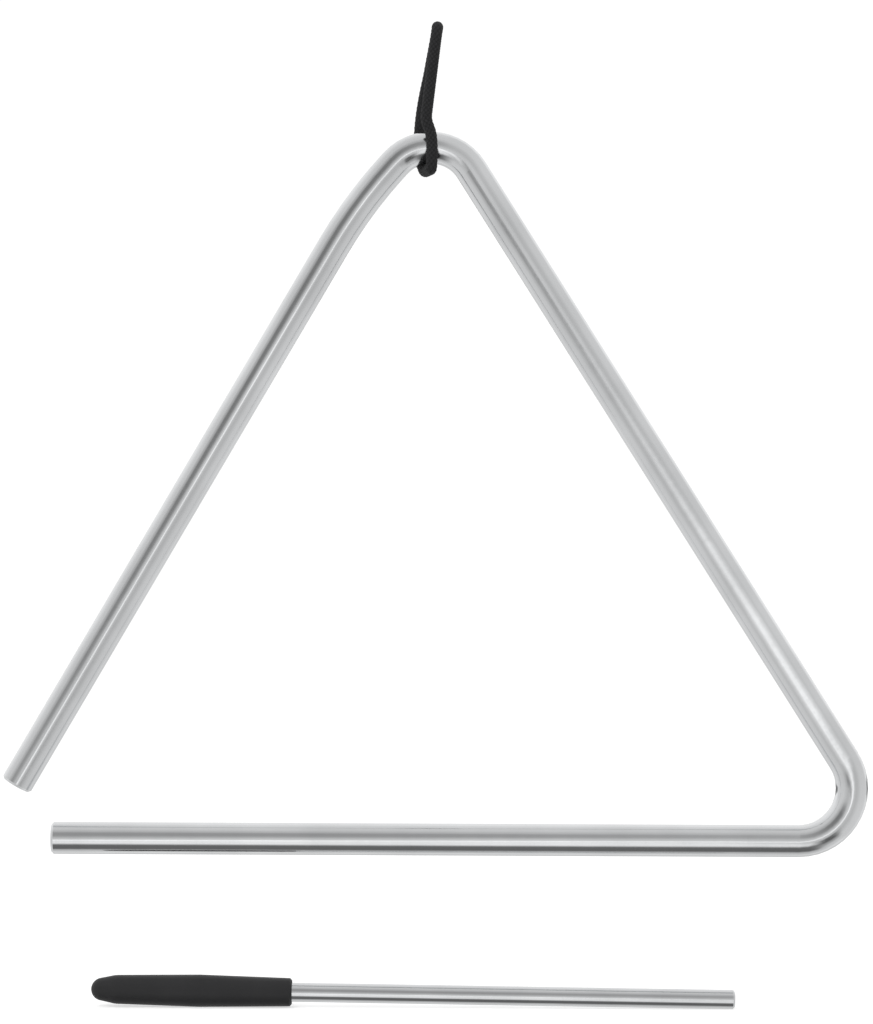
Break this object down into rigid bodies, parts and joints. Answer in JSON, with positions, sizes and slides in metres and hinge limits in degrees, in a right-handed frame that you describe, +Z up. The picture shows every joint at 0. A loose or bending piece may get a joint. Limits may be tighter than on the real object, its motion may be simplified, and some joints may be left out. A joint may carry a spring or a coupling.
{
  "type": "triangle instrument",
  "caption": "Chromed steel percussion triangle with rounded bends and an open corner, hung on a black cord loop, with a loose straight beater in a black grip.",
  "frame": {"origin": "inside of the cord's top fold, where a hook bears", "axes": "+X along the base bar towards the closed corner, +Z up, +Y away from the player"},
  "size_m": [0.2152, 0.015, 0.2455],
  "materials": {
    "cord_black": "matte black braided cord",
    "bar_chrome": "bright plated, faint lengthwise polish",
    "rod_chrome": "bright plated, faint lengthwise polish",
    "grip_black": "satin black, fine moulded grain"
  },
  "bodies": {
    "hanger": {"hanger_cord": "cord_black"},
    "bar": {"triangle_bar": "bar_chrome"},
    "beater": {"beater_rod": "rod_chrome", "beater_grip": "grip_black"}
  },
  "joints": [
    {"name": "bar_swing", "type": "hinge", "parent": "hanger", "child": "bar", "pos_m": [-0.00295, 0, -0.0287], "axis": [1, 0, 0], "range_deg": [-90, 90]},
    {"name": "beater_strike", "type": "slide", "parent": "hanger", "child": "beater", "axis": [-0.9221, 0, 0.3871], "range_m": [0, 0.0813]}
  ]
}
